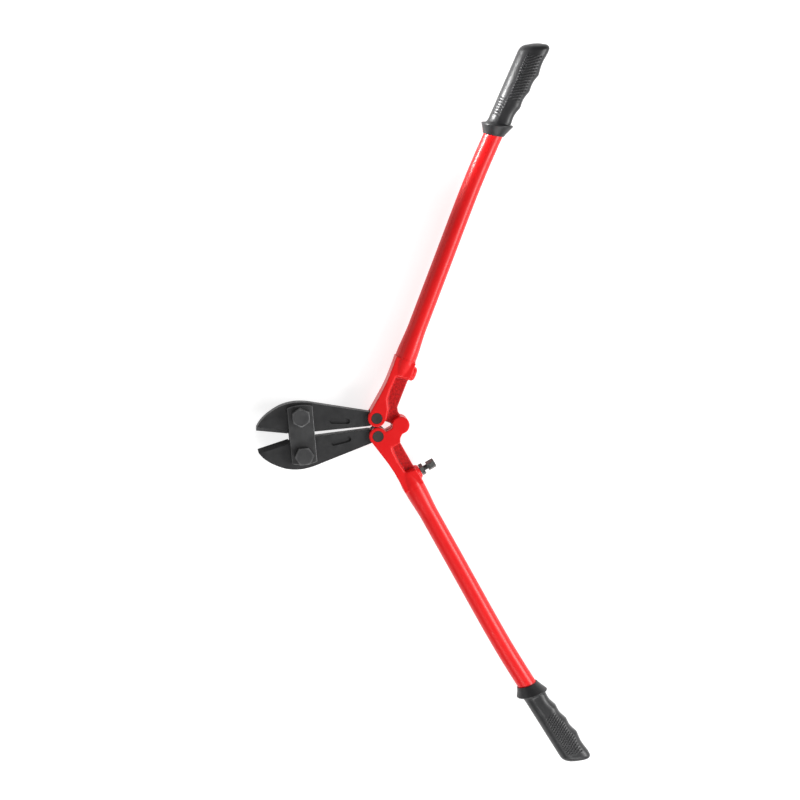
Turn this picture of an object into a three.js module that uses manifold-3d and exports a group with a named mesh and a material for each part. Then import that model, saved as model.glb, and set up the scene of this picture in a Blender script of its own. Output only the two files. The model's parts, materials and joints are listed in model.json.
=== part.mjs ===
// Long-handled bolt cutters, lying flat and fully open.
// Millimetres, +Z up. The head points along -X, one handle along +Y and the other along -Y.
// The model is drawn about the centre pivot in the mid-plane of the jaws and then moved so
// that its origin is the centre of its footprint, on the surface it lies on.

import * as THREE from 'three';
import { mergeVertices } from 'three/addons/utils/BufferGeometryUtils.js';
import Module from 'manifold-3d';

const wasm = await Module();
wasm.setup();

// ---------------------------------------------------------------- driving dimensions

const GAP = 0.3; // running gap between neighbouring pieces

// Linkage, measured from the centre pivot with the head straight.
const LINK_PIN = { x: -33.6, y: 13.0 }; // where a jaw's tail hangs in a handle's yoke
const JAW_BOLT = { x: -140.8, y: 28.0 }; // where a jaw hangs between the head plates
const HANDLE_ANGLE = THREE.MathUtils.degToRad(64.5); // from +X, handles fully open
const HEAD_SWAY = THREE.MathUtils.degToRad(1.6); // the open head leans a little to one side
const SLOT_TRAVEL = 8.4; // play of the upper jaw on its bolt while the handles swing
const SLOT_DRIFT = 1.6; // sideways part of that play

// Layers through the thickness, as half-heights from the mid-plane.
const JAW_HALF = 7.5;
const PLATE_OUTER = 13.3;
const YOKE_HALF = 13.0;
const WEB_HALF = 5.0;
const BASE_HALF = 22.0; // rear nuts and grip collars all end on this level

// Jaws.
const JAW_TAIL_RADIUS = 11.5;
const JAW_TIP = { x: -204.8, y: 13.35 };
const EDGE_REAR = { x: -161.3, y: 4.05 };
const EDGE_BEVEL = 6.0;
const EDGE_LAND = 0.8;

// Head fasteners.
const BOLT_RADIUS = 8.0;
const BOLT_ACROSS_FLATS = 24.0;
const BOLT_HEAD_TOP = 22.3;
const WASHER_RADIUS = 15.0;
const WASHER_THICK = 1.6;
const PLATE_HALF_WIDTH = 17.9;
const PLATE_SIDE_HALF = 40.2;
const PLATE_CROWN = 2.8;
const PLATE_SHIFT = 1.6; // the plates reach further past the upper bolt than the lower one

// Yokes, in a handle's own frame: u runs along the handle, v away from the other handle.
const EAR_RADIUS = 12.6;
const KNUCKLE_RADIUS = 12.5;
const LINK_PIN_RADIUS = 8.0;
const CENTRE_PIN_RADIUS = 6.0;
const TUBE_START = { u: 90.0, v: 27.6 };
const SOCKET_RADIUS = 15.3;
const SPIGOT_RADIUS = 12.9;
const SPIGOT_LENGTH = 34.0;
const BOSS = { u: 73.5, upperFace: 5.8, lowerFace: 8.0, radius: 8.5 };

// Tubes.
const TUBE_RADIUS = 13.0;
const TUBE_WALL = 1.8;
const SWAGE_LENGTH = 48.0;
const ROUTE_STEPS = 11;
const TUBE_ROUTE = [[90, 27.6], [220, 29.4], [345, 31.0], [420, 29.2], [490, 25.4], [556, 21.6]];

// Grips.
const GRIP_FRONT = 430.0;
const COLLAR_REAR = 450.0;
const GRIP_END = 576.0;
const GRIP_HALF_THICK = 17.0;
const GRIP_CORNER_RADIUS = 22.5; // about the tube's centre line
const FINGER_PITCH = 25.5;

// Stop screw.
const SCREW_RADIUS = 4.0;
const SCREW_HEAD_ACROSS = 12.0;
const SCREW_HEAD_LENGTH = 12.0;
const SCREW_REACH = 15.3; // how far the head stands past the handle's own axis line
const LOCK_NUT_ACROSS = 15.0;
const LOCK_NUT_LENGTH = 5.6;

// ---------------------------------------------------------------- materials

const paint = new THREE.MeshStandardMaterial({ color: 0xe0241f, roughness: 0.3, metalness: 0.1 });
const blackSteel = new THREE.MeshStandardMaterial({ color: 0x3d3d3e, roughness: 0.5, metalness: 0.8 });
const boltSteel = new THREE.MeshStandardMaterial({ color: 0x4d4d4f, roughness: 0.45, metalness: 0.85 });
const zincSteel = new THREE.MeshStandardMaterial({ color: 0x6a6a68, roughness: 0.4, metalness: 0.9 });
const rubber = new THREE.MeshStandardMaterial({ color: 0x2b2b2c, roughness: 0.75, metalness: 0.0 });

// ---------------------------------------------------------------- solids

// A closed geometry as a solid that can be joined and cut.
function solid(geometry) {
  const plain = geometry.index ? geometry.toNonIndexed() : geometry.clone();
  plain.deleteAttribute('normal');
  plain.deleteAttribute('uv');
  const merged = mergeVertices(plain, 1e-4);
  return new wasm.Manifold(new wasm.Mesh({
    numProp: 3,
    vertProperties: new Float32Array(merged.attributes.position.array),
    triVerts: new Uint32Array(merged.index.array),
  }));
}

// A solid as a geometry that a mesh can show.
function geometryOf(body) {
  const mesh = body.getMesh();
  const geometry = new THREE.BufferGeometry();
  geometry.setAttribute('position', new THREE.BufferAttribute(new Float32Array(mesh.vertProperties), 3));
  geometry.setIndex(new THREE.BufferAttribute(new Uint32Array(mesh.triVerts), 1));
  geometry.computeVertexNormals();
  return geometry;
}

// A flat outline given thickness between two levels.
function slab(shape, low, high, curveSegments = 8) {
  const geometry = new THREE.ExtrudeGeometry(shape, { depth: high - low, bevelEnabled: false, curveSegments });
  geometry.translate(0, 0, low);
  return solid(geometry);
}

// A closed outline through points.
function outline(points) {
  return new THREE.Shape(points.map(([x, y]) => new THREE.Vector2(x, y)));
}

// An upright round bar centred at x, y.
function rod(x, y, radius, low, high, sides = 32) {
  const geometry = new THREE.CylinderGeometry(radius, radius, high - low, sides);
  geometry.rotateX(Math.PI / 2);
  geometry.translate(x, y, (low + high) / 2);
  return solid(geometry);
}

// A round bar along u, from one station to another, that may taper.
function barAlongU(u0, u1, v, radius0, radius1, sides = 32) {
  const geometry = new THREE.CylinderGeometry(radius1, radius0, u1 - u0, sides);
  geometry.rotateZ(-Math.PI / 2);
  geometry.translate((u0 + u1) / 2, v, 0);
  return solid(geometry);
}

// A bar along v between two stations; six sides make a hexagon with the given radius.
function barAlongV(u, v0, v1, radius, sides = 24) {
  const low = Math.min(v0, v1);
  const high = Math.max(v0, v1);
  const geometry = new THREE.CylinderGeometry(radius, radius, high - low, sides);
  geometry.translate(u, (low + high) / 2, 0);
  return solid(geometry);
}

// An upright hexagonal bar, pointed along +Y when turn is zero.
function hexagon(x, y, acrossFlats, low, high, turn = 0) {
  const geometry = new THREE.CylinderGeometry(acrossFlats / Math.sqrt(3), acrossFlats / Math.sqrt(3), high - low, 6);
  geometry.rotateX(Math.PI / 2);
  geometry.rotateZ(turn);
  geometry.translate(x, y, (low + high) / 2);
  return solid(geometry);
}

// A named mesh.
function piece(name, body, material) {
  const mesh = new THREE.Mesh(geometryOf(body), material);
  mesh.name = name;
  return mesh;
}

// ---------------------------------------------------------------- head

// Both halves are drawn for the +Y side; side -1 mirrors them.
function mirrored(points, side) {
  return points.map(([x, y]) => [x, side * y]);
}

// The jaw's back: straight along the tail, then one full curve round to the tip.
function jawBack() {
  const curve = new THREE.CatmullRomCurve3([
    [-113.5, 42.0], [-131.8, 46.8], [-149, 48.3], [-167.2, 45.3], [-184.4, 37.1], [-196.6, 27.8], [-203.9, 18.6],
  ].map(([x, y]) => new THREE.Vector3(x, y, 0)));
  return curve.getPoints(18).map((point) => [point.x, point.y]);
}

function jawOutline(side) {
  return outline(mirrored([
    [-33.0, 19.5],
    [-48.0, 23.8],
    ...jawBack(),
    [JAW_TIP.x, JAW_TIP.y],
    [EDGE_REAR.x, EDGE_REAR.y],
    [-157.6, 7.6],
    [-152.0, 7.6],
    [-148.4, 4.2],
    [-122.6, 3.6],
    [-45.6, 2.4],
    [-33.0, 4.6],
  ], side));
}

// The prism ground off one face along the cutting edge.
function edgeBevel(side, face) {
  const run = new THREE.Vector3(JAW_TIP.x - EDGE_REAR.x, JAW_TIP.y - EDGE_REAR.y, 0);
  const along = run.clone().normalize();
  const intoJaw = new THREE.Vector3(along.y, -along.x, 0);
  const slope = (JAW_HALF - EDGE_LAND) / EDGE_BEVEL;
  const section = outline([
    [-2, EDGE_LAND - 2 * slope], [EDGE_BEVEL, JAW_HALF], [EDGE_BEVEL, JAW_HALF + 3], [-2, JAW_HALF + 3],
  ]);
  const geometry = new THREE.ExtrudeGeometry(section, { depth: run.length() + 20, bevelEnabled: false });
  const place = new THREE.Matrix4().makeBasis(intoJaw, new THREE.Vector3(0, 0, 1), along);
  place.setPosition(EDGE_REAR.x, EDGE_REAR.y, 0);
  place.premultiply(new THREE.Matrix4().makeScale(1, side, face));
  geometry.applyMatrix4(place);
  if (place.determinant() < 0) {
    flipFaces(geometry);
  }
  return solid(geometry);
}

// Turns every triangle of an unindexed geometry over, after a mirroring.
function flipFaces(geometry) {
  const position = geometry.attributes.position;
  const second = new THREE.Vector3();
  const third = new THREE.Vector3();
  for (let i = 0; i < position.count; i += 3) {
    second.fromBufferAttribute(position, i + 1);
    third.fromBufferAttribute(position, i + 2);
    position.setXYZ(i + 1, third.x, third.y, third.z);
    position.setXYZ(i + 2, second.x, second.y, second.z);
  }
}

// A jaw with its straight head position; openSlot gives the bolt hole its extra travel.
function jawSolid(side, openSlot) {
  const pinY = side * LINK_PIN.y;
  const boltY = side * JAW_BOLT.y;
  const holeRadius = BOLT_RADIUS + GAP;
  let body = slab(jawOutline(side), -JAW_HALF, JAW_HALF)
    .add(rod(LINK_PIN.x, pinY, JAW_TAIL_RADIUS, -JAW_HALF, JAW_HALF))
    .subtract(rod(LINK_PIN.x, pinY, LINK_PIN_RADIUS + GAP, -20, 20))
    .subtract(rod(JAW_BOLT.x, boltY, holeRadius, -20, 20));
  if (openSlot) {
    const inner = boltY - side * SLOT_TRAVEL;
    const left = JAW_BOLT.x - holeRadius;
    const right = JAW_BOLT.x + holeRadius;
    const slot = outline([[left - SLOT_DRIFT, inner], [right, inner], [right, boltY], [left, boltY]]);
    body = body
      .subtract(slab(slot, -20, 20))
      .subtract(rod(JAW_BOLT.x - SLOT_DRIFT, inner, holeRadius, -20, 20))
      .subtract(rod(JAW_BOLT.x, inner, holeRadius, -20, 20));
  }
  return body.subtract(edgeBevel(side, 1)).subtract(edgeBevel(side, -1));
}

// Places a jaw's solid so that it leans with the head about its own link pin.
function jawGroup(name, side, openSlot) {
  const body = jawSolid(side, openSlot).translate([-LINK_PIN.x, -side * LINK_PIN.y, 0]);
  const group = new THREE.Group();
  group.position.set(LINK_PIN.x, side * LINK_PIN.y, 0);
  group.rotation.z = HEAD_SWAY;
  group.add(piece(name, body, blackSteel));
  return group;
}

// Where a jaw's bolt is once the head leans.
function leaningBolt(side) {
  const arm = new THREE.Vector2(JAW_BOLT.x - LINK_PIN.x, side * (JAW_BOLT.y - LINK_PIN.y));
  arm.rotateAround(new THREE.Vector2(0, 0), HEAD_SWAY);
  return new THREE.Vector2(LINK_PIN.x + arm.x, side * LINK_PIN.y + arm.y);
}

// A head plate: straight sides and arched ends, with two bolt holes.
function headPlate(low, high) {
  const archRadius = (PLATE_HALF_WIDTH ** 2 + PLATE_CROWN ** 2) / (2 * PLATE_CROWN);
  const archHalf = Math.asin(PLATE_HALF_WIDTH / archRadius);
  const archCentre = PLATE_SIDE_HALF + PLATE_CROWN - archRadius;
  const shape = new THREE.Shape();
  shape.moveTo(PLATE_HALF_WIDTH, -PLATE_SIDE_HALF);
  shape.lineTo(PLATE_HALF_WIDTH, PLATE_SIDE_HALF);
  shape.absarc(0, archCentre, archRadius, Math.PI / 2 - archHalf, Math.PI / 2 + archHalf, false);
  shape.lineTo(-PLATE_HALF_WIDTH, -PLATE_SIDE_HALF);
  shape.absarc(0, -archCentre, archRadius, 1.5 * Math.PI - archHalf, 1.5 * Math.PI + archHalf, false);
  let body = slab(shape, low, high);
  for (const y of [-JAW_BOLT.y, JAW_BOLT.y]) {
    body = body.subtract(rod(0, y - PLATE_SHIFT, BOLT_RADIUS + GAP, low - 1, high + 1));
  }
  return body.translate([0, PLATE_SHIFT, 0]);
}

// Plates, bolts, washers and nuts: everything that holds the two jaws together.
function headGroup() {
  const upper = leaningBolt(1);
  const lower = leaningBolt(-1);
  const group = new THREE.Group();
  group.position.set((upper.x + lower.x) / 2, (upper.y + lower.y) / 2, 0);
  group.rotation.z = Math.atan2(upper.y - lower.y, upper.x - lower.x) - Math.PI / 2;
  const plateInner = JAW_HALF + GAP;
  group.add(piece('front_plate', headPlate(plateInner, PLATE_OUTER), blackSteel));
  group.add(piece('rear_plate', headPlate(-PLATE_OUTER, -plateInner), blackSteel));
  for (const [label, side, turn] of [['upper', 1, 0], ['lower', -1, Math.PI / 6]]) {
    const y = side * JAW_BOLT.y;
    const washerTop = -PLATE_OUTER - GAP;
    const nutTop = washerTop - WASHER_THICK - GAP;
    const bolt = hexagon(0, y, BOLT_ACROSS_FLATS, PLATE_OUTER + GAP, BOLT_HEAD_TOP, turn)
      .add(rod(0, y, BOLT_RADIUS, -BASE_HALF + 0.6, PLATE_OUTER + 2, 24));
    const washer = rod(0, y, WASHER_RADIUS, washerTop - WASHER_THICK, washerTop)
      .subtract(rod(0, y, BOLT_RADIUS + GAP, -30, 0, 24));
    const nut = hexagon(0, y, BOLT_ACROSS_FLATS, -BASE_HALF, nutTop, turn)
      .subtract(rod(0, y, BOLT_RADIUS + GAP, -30, 0, 24));
    group.add(piece(`${label}_jaw_bolt`, bolt, boltSteel));
    group.add(piece(`${label}_jaw_washer`, washer, boltSteel));
    group.add(piece(`${label}_jaw_nut`, nut, boltSteel));
  }
  return group;
}

// ---------------------------------------------------------------- handles

// The link pin in a handle's own frame.
const PIN_U = LINK_PIN.x * Math.cos(HANDLE_ANGLE) + LINK_PIN.y * Math.sin(HANDLE_ANGLE);
const PIN_V = -LINK_PIN.x * Math.sin(HANDLE_ANGLE) + LINK_PIN.y * Math.cos(HANDLE_ANGLE);

// The thin web that runs from the knuckle to the socket.
function yokeWeb(side) {
  return slab(outline(mirrored([
    [-3.5, 25.0], [-3.5, 11.5], [11.8, 4.0], [15.5, 9.4], [21.5, 13.0], [58.0, 13.2],
    [72.0, 13.2], [72.0, 42.0], [55.0, 41.8], [40.0, 42.8], [21.0, 45.2], [2.0, 47.8],
  ], side)), -WEB_HALF, WEB_HALF);
}

// The thick rib along the outer side, from the ear to the socket.
function yokeRib(side, ridge) {
  return slab(outline(mirrored([
    [-0.5, 21.5], [15.4, 24.6], [28.6, ridge - 0.4], [43.6, ridge + 0.6], [62.0, ridge - 0.4], [64.5, 12.6],
    [TUBE_START.u, 12.6], [TUBE_START.u, 42.6], [70.0, 41.8], [55.0, 41.8], [40.0, 42.8], [21.0, 45.2],
    [2.0, 47.8],
  ], side)), -YOKE_HALF, YOKE_HALF);
}

// The open fork round the link pin, wide enough for the jaw's whole swing.
function forkSlot(side) {
  const half = JAW_HALF + GAP;
  const v = side * PIN_V;
  const swing = mirrored([[0, 0], [12, 24], [-30, 24], [-30, -26], [-6.5, -26]], side);
  const sweep = outline(swing.map(([x, y]) => [x + PIN_U, y + v]));
  return slab(sweep, -half, half).add(rod(PIN_U, v, EAR_RADIUS - GAP, -half, half));
}

// What both yokes share: ear, web, rib, socket, stop boss and the spigot inside the tube.
function yokeBase(side, ridge, bossFace) {
  const v = side * PIN_V;
  const tubeV = side * TUBE_START.v;
  const spigotEnd = TUBE_START.u + SPIGOT_LENGTH;
  return yokeWeb(side)
    .add(yokeRib(side, ridge))
    .add(rod(PIN_U, v, EAR_RADIUS, -YOKE_HALF, YOKE_HALF, 40))
    .add(barAlongU(68, TUBE_START.u, tubeV, 14.2, SOCKET_RADIUS))
    .add(barAlongU(TUBE_START.u - 4, spigotEnd, tubeV, SPIGOT_RADIUS, SPIGOT_RADIUS - 1.9))
    .add(barAlongV(BOSS.u, side * bossFace, side * 27, BOSS.radius))
    .subtract(forkSlot(side))
    .subtract(rod(PIN_U, v, LINK_PIN_RADIUS + GAP, -20, 20));
}

// The upper yoke ends in one tongue that turns inside the lower yoke's knuckle.
function upperYoke() {
  return yokeBase(1, 32, BOSS.upperFace)
    .add(rod(0, 0, KNUCKLE_RADIUS, -WEB_HALF, WEB_HALF, 40))
    .subtract(rod(0, 0, CENTRE_PIN_RADIUS + GAP, -20, 20, 24));
}

// The lower yoke ends in two cheeks that close over the tongue; the front one is blind.
function lowerYoke() {
  const cheek = outline(mirrored([
    [-2.6, 25.0], [-2.6, 11.5], [11.8, 4.0], [15.5, 9.4], [21.5, 13.0], [21.5, 26.5],
  ], -1));
  const tongueRoom = rod(0, 0, KNUCKLE_RADIUS + 0.6, -WEB_HALF - GAP, WEB_HALF + GAP, 40);
  const screwHole = barAlongV(BOSS.u, 0, -36, SCREW_RADIUS + GAP);
  return yokeBase(-1, 28, BOSS.lowerFace)
    .add(slab(cheek, -YOKE_HALF, YOKE_HALF))
    .subtract(forkSlot(-1))
    .add(rod(0, 0, KNUCKLE_RADIUS, -YOKE_HALF, YOKE_HALF, 40))
    .subtract(tongueRoom)
    .subtract(rod(0, 0, CENTRE_PIN_RADIUS + GAP, -20, YOKE_HALF - 3.5, 24))
    .subtract(screwHole);
}

// The tube's centre line in the handle's own frame.
function tubeRoute(side) {
  return new THREE.CatmullRomCurve3(TUBE_ROUTE.map(([u, v]) => new THREE.Vector3(u, side * v, 0)));
}

// A round bar along the tube's centre line.
function routeBar(side, radius, sides, stretch = 0) {
  const section = new THREE.Shape();
  section.absarc(0, 0, radius, 0, 2 * Math.PI, false);
  const route = tubeRoute(side);
  const steps = ROUTE_STEPS;
  const points = route.getSpacedPoints(steps);
  if (stretch > 0) {
    points[0].addScaledVector(route.getTangent(0), -stretch);
    points[steps].addScaledVector(route.getTangent(1), stretch);
  }
  const path = new THREE.CatmullRomCurve3(points);
  const geometry = new THREE.ExtrudeGeometry(section, {
    steps, extrudePath: path, bevelEnabled: false, curveSegments: sides / 2,
  });
  return solid(geometry);
}

// A handle tube: round pipe with a slow bend, its front end swaged wide over the spigot.
function tubeSolid(side) {
  const u = TUBE_START.u + GAP;
  const v = side * TUBE_START.v;
  const end = u + SWAGE_LENGTH;
  const swage = barAlongU(u, end, v, SOCKET_RADIUS, TUBE_RADIUS - 0.4);
  const swageBore = barAlongU(u - 5, end, v, SOCKET_RADIUS - TUBE_WALL, TUBE_RADIUS - TUBE_WALL - 0.4);
  const trim = slab(outline([[u - 40, v - 40], [u, v - 40], [u, v + 40], [u - 40, v + 40]]), -40, 40);
  return routeBar(side, TUBE_RADIUS, 24)
    .add(swage)
    .subtract(routeBar(side, TUBE_RADIUS - TUBE_WALL, 24, 4))
    .subtract(swageBore)
    .subtract(trim);
}

// The grip's side view: straight back, three finger bumps, an end bulge and a slanted end.
function gripOutline(side) {
  const points = [];
  const first = 452;
  for (let i = 0; i <= 20; i += 1) {
    const u = first + (i / 20) * (556 - first);
    const centre = 9.6 - (u - first) * 0.082;
    const wave = 1.5 * Math.cos(((u - 478) / FINGER_PITCH) * 2 * Math.PI);
    points.push([u, centre - wave]);
  }
  points.push([566, 0.1], [573.6, 1.3], [GRIP_END, 7.5], [570.5, 23], [563, 34.2], [553.5, 39.6], [545, 40.6]);
  points.push([500, 42.2], [first, 43.4]);
  return outline(mirrored(points, side));
}

// The collar: a flared ring with its widest edge facing the hand.
function collarSolid(side) {
  const v = side * 27.6;
  return barAlongU(GRIP_FRONT, COLLAR_REAR - 4, v, 15.2, 21.6, 24)
    .add(barAlongU(COLLAR_REAR - 4, COLLAR_REAR, v, 21.6, BASE_HALF, 24))
    .add(barAlongU(COLLAR_REAR, COLLAR_REAR + 3, v, BASE_HALF, 19.5, 24));
}

// A moulded grip pushed over the tube's end, its four long corners rounded.
function gripSolid(side) {
  return slab(gripOutline(side), -GRIP_HALF_THICK, GRIP_HALF_THICK)
    .intersect(routeBar(side, GRIP_CORNER_RADIUS, 32, 25))
    .add(collarSolid(side))
    .subtract(routeBar(side, TUBE_RADIUS + GAP, 24, GAP));
}

// A pin flush with both ears of a yoke.
function linkPin(side) {
  return rod(PIN_U, side * PIN_V, LINK_PIN_RADIUS, -YOKE_HALF, YOKE_HALF);
}

// The stop screw: hexagonal head towards the other handle, shank in the boss.
function stopScrew() {
  const headBase = SCREW_REACH - SCREW_HEAD_LENGTH;
  return barAlongV(BOSS.u, headBase, SCREW_REACH, SCREW_HEAD_ACROSS / Math.sqrt(3), 6)
    .add(barAlongV(BOSS.u, -30, headBase + 1, SCREW_RADIUS, 24));
}

// The nut that locks the stop screw against the boss.
function lockNut() {
  const seat = GAP - BOSS.lowerFace;
  return barAlongV(BOSS.u, seat, seat + LOCK_NUT_LENGTH, LOCK_NUT_ACROSS / Math.sqrt(3), 6)
    .subtract(barAlongV(BOSS.u, 20, -20, SCREW_RADIUS + GAP));
}

function upperHandle() {
  const group = new THREE.Group();
  group.rotation.z = HANDLE_ANGLE;
  group.add(piece('upper_yoke', upperYoke(), paint));
  group.add(piece('upper_link_pin', linkPin(1), boltSteel));
  group.add(piece('upper_tube', tubeSolid(1), paint));
  group.add(piece('upper_grip', gripSolid(1), rubber));
  return group;
}

function lowerHandle() {
  const group = new THREE.Group();
  group.rotation.z = -HANDLE_ANGLE;
  const centrePin = rod(0, 0, CENTRE_PIN_RADIUS, -YOKE_HALF, YOKE_HALF - 4, 24);
  group.add(piece('lower_yoke', lowerYoke(), paint));
  group.add(piece('lower_link_pin', linkPin(-1), boltSteel));
  group.add(piece('centre_pin', centrePin, boltSteel));
  group.add(piece('lower_tube', tubeSolid(-1), paint));
  group.add(piece('lower_grip', gripSolid(-1), rubber));
  group.add(piece('stop_screw', stopScrew(), zincSteel));
  group.add(piece('stop_lock_nut', lockNut(), zincSteel));
  return group;
}

// ---------------------------------------------------------------- assembly

const boltCutters = new THREE.Group();
boltCutters.add(upperHandle());
boltCutters.add(lowerHandle());
boltCutters.add(jawGroup('upper_jaw', 1, true));
boltCutters.add(jawGroup('lower_jaw', -1, false));
boltCutters.add(headGroup());

// The origin goes to the centre of the footprint, on the surface.
boltCutters.updateMatrixWorld(true);
const bounds = new THREE.Box3().setFromObject(boltCutters, true);
boltCutters.position.set(
  -(bounds.min.x + bounds.max.x) / 2,
  -(bounds.min.y + bounds.max.y) / 2,
  -bounds.min.z,
);

export default boltCutters;
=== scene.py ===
"""Looks for the long-handled bolt cutters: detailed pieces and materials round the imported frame."""

import json
import math

import bmesh
import bpy
from mathutils import Matrix, Vector


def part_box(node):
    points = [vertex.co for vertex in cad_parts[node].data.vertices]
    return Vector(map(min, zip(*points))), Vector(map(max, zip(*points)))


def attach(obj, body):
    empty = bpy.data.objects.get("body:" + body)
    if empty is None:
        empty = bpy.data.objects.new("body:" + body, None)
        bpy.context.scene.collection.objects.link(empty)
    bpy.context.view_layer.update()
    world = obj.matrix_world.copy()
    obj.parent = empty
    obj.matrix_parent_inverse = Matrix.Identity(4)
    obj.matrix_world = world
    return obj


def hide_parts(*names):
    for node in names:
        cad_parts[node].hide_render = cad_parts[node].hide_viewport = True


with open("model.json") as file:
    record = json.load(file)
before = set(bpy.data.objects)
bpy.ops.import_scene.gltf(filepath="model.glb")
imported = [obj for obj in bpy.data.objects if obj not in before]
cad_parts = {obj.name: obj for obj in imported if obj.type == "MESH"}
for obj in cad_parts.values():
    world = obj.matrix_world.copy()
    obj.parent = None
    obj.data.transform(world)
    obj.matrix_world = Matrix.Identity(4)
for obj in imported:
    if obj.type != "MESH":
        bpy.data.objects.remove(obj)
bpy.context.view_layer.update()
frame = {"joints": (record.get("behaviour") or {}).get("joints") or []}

# ------------------------------------------------------------------ places read from the frame

MM = 0.001
SIDES = {1: "upper", -1: "lower"}
JOINTS = {joint["name"]: joint for joint in frame["joints"]}


def joint_point(name):
    """The point that a joint turns about."""
    return Vector(JOINTS[name]["pos_m"])


def middle(node):
    """The middle of a CAD node's box."""
    low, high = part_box(node)
    return (low + high) / 2


CENTRE = joint_point("handles_close")
LINK_PIN = {1: joint_point("upper_jaw_swing"), -1: joint_point("lower_jaw_swing")}
JAW_BOLT = {1: middle("upper_jaw_bolt"), -1: joint_point("head_link_turn")}
JAW_BOLT[1].z = CENTRE.z

# The stop screw stands square to the lower handle, so its axis gives both handles' directions.
SCREW_AXIS = Vector(JOINTS["stop_screw_adjust"]["axis"])
HANDLE_ANGLE = math.atan2(-SCREW_AXIS.x, -SCREW_AXIS.y)

# Each jaw leans about its link pin: the mean of the two leans is the shape, half their difference the sway.
ARM = {side: JAW_BOLT[side] - LINK_PIN[side] for side in SIDES}
LEAN = {side: math.atan2(side * ARM[side].y, -ARM[side].x) for side in SIDES}
HEAD_SWAY = (LEAN[-1] - LEAN[1]) / 2
JAW_LEAN = (LEAN[-1] + LEAN[1]) / 2
ARM_LENGTH = ARM[1].length / MM

# The link pin seen from the centre pivot, and the bolt seen from the link pin, in millimetres.
PIN_AT = (LINK_PIN[1] - CENTRE) / MM
BOLT_FROM_PIN = Vector((-math.cos(JAW_LEAN), math.sin(JAW_LEAN), 0)) * ARM_LENGTH
HEAD_LINE = JAW_BOLT[1] - JAW_BOLT[-1]
BOLT_SPREAD = HEAD_LINE.length / 2 / MM


def scaled(side):
    """Millimetres to metres, mirrored across the tool's middle for the lower side."""
    return Matrix.Diagonal((MM, side * MM, MM, 1))


def placed(at, angle, side):
    """From a piece's own frame, in millimetres, to its place on the tool."""
    return Matrix.Translation(at) @ Matrix.Rotation(angle, 4, "Z") @ scaled(side)


HANDLE = {side: placed(CENTRE, side * HANDLE_ANGLE, side) for side in SIDES}
JAW = {side: placed(LINK_PIN[side], HEAD_SWAY, side) for side in SIDES}
HEAD_TILT = math.atan2(HEAD_LINE.y, HEAD_LINE.x) - math.pi / 2
HEAD = placed((JAW_BOLT[1] + JAW_BOLT[-1]) / 2, HEAD_TILT, 1)

# The link pin in the upper handle's own frame, with u along the handle and v away from the other one.
PIN_UV = Matrix.Rotation(-HANDLE_ANGLE, 4, "Z") @ PIN_AT

# ------------------------------------------------------------------ sizes in millimetres

GAP = 0.3
JAW_HALF = 7.5
PLATE_OUTER = 13.3
YOKE_HALF = 13.0
WEB_HALF = 5.0
BASE_HALF = CENTRE.z / MM
TAIL_RADIUS = 11.5
JAW_TIP = (-204.8, 13.35)
EDGE_REAR = (-161.3, 4.05)
BOLT_RADIUS = 8.0
PIN_RADIUS = 8.0
EAR_RADIUS = 12.6
KNUCKLE_RADIUS = 12.5
CENTRE_PIN_RADIUS = 6.0
ACROSS_FLATS = 24.0
BOLT_HEAD_TOP = 22.3
WASHER_RADIUS = 15.0
WASHER_THICKNESS = 1.6
TUBE_START = 90.3
TUBE_START_RADIUS = 15.3
SOCKET_RADIUS = 15.7
TUBE_RADIUS = 13.3
SWAGE_LENGTH = 48.0
TUBE_END = 470.0
TUBE_ROUTE = [(90, 27.6), (220, 29.4), (345, 31.0), (420, 29.2), (490, 25.4), (556, 21.6)]
BOSS_U = 73.5
UPPER_BOSS_FACE = 5.8
LOWER_BOSS_FACE = 8.0
BOSS_RADIUS = 10.5
SCREW_REACH = 15.3
SCREW_HEAD_ACROSS = 12.0
SCREW_HEAD_LENGTH = 12.0
SCREW_RADIUS = 4.0
SCREW_PITCH = 1.25
SCREW_END = 29.5
LOCK_NUT_ACROSS = 15.0
LOCK_NUT_LENGTH = 5.6

# How far a cutter reaches: past both faces of any one piece, and past the whole tool.
THROUGH = 20
FAR = 40

# How many flats stand in for a turned circle.
TURNED_SIDES = 96

# ------------------------------------------------------------------ mesh tools


def mesh_from(bm):
    """A bmesh as a mesh, with its faces turned outward."""
    bmesh.ops.recalc_face_normals(bm, faces=bm.faces)
    mesh = bpy.data.meshes.new("part")
    bm.to_mesh(mesh)
    bm.free()
    return mesh


def slab(points, low, high):
    """An outline given thickness between two levels."""
    bm = bmesh.new()
    base = [bm.verts.new((x, y, low)) for x, y in points]
    top = [bm.verts.new((x, y, high)) for x, y in points]
    bm.faces.new(base)
    bm.faces.new(top)
    count = len(points)
    for i in range(count):
        j = (i + 1) % count
        bm.faces.new((base[i], base[j], top[j], top[i]))
    return mesh_from(bm)


def loft(rings):
    """A closed skin over rings of points, its two ends capped."""
    bm = bmesh.new()
    rows = [[bm.verts.new(point) for point in ring] for ring in rings]
    count = len(rows[0])
    for row, following in zip(rows, rows[1:]):
        for i in range(count):
            j = (i + 1) % count
            bm.faces.new((row[i], row[j], following[j], following[i]))
    bm.faces.new(rows[0])
    bm.faces.new(rows[-1])
    return mesh_from(bm)


def circle(radius, sides, turn=0.0):
    """Points round a circle as (cosine side, sine side)."""
    step = 2 * math.pi / sides
    return [(radius * math.cos(turn + i * step), radius * math.sin(turn + i * step)) for i in range(sides)]


def lathe_z(x, y, profile):
    """A turned solid about an upright axis; the profile is (radius, level) pairs."""
    return loft([[(x + a, y + b, z) for a, b in circle(radius, TURNED_SIDES)] for radius, z in profile])


def lathe_v(u, profile):
    """A turned solid about an axis along v; the profile is (radius, v) pairs."""
    return loft([[(u + a, v, b) for a, b in circle(radius, TURNED_SIDES)] for radius, v in profile])


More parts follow.
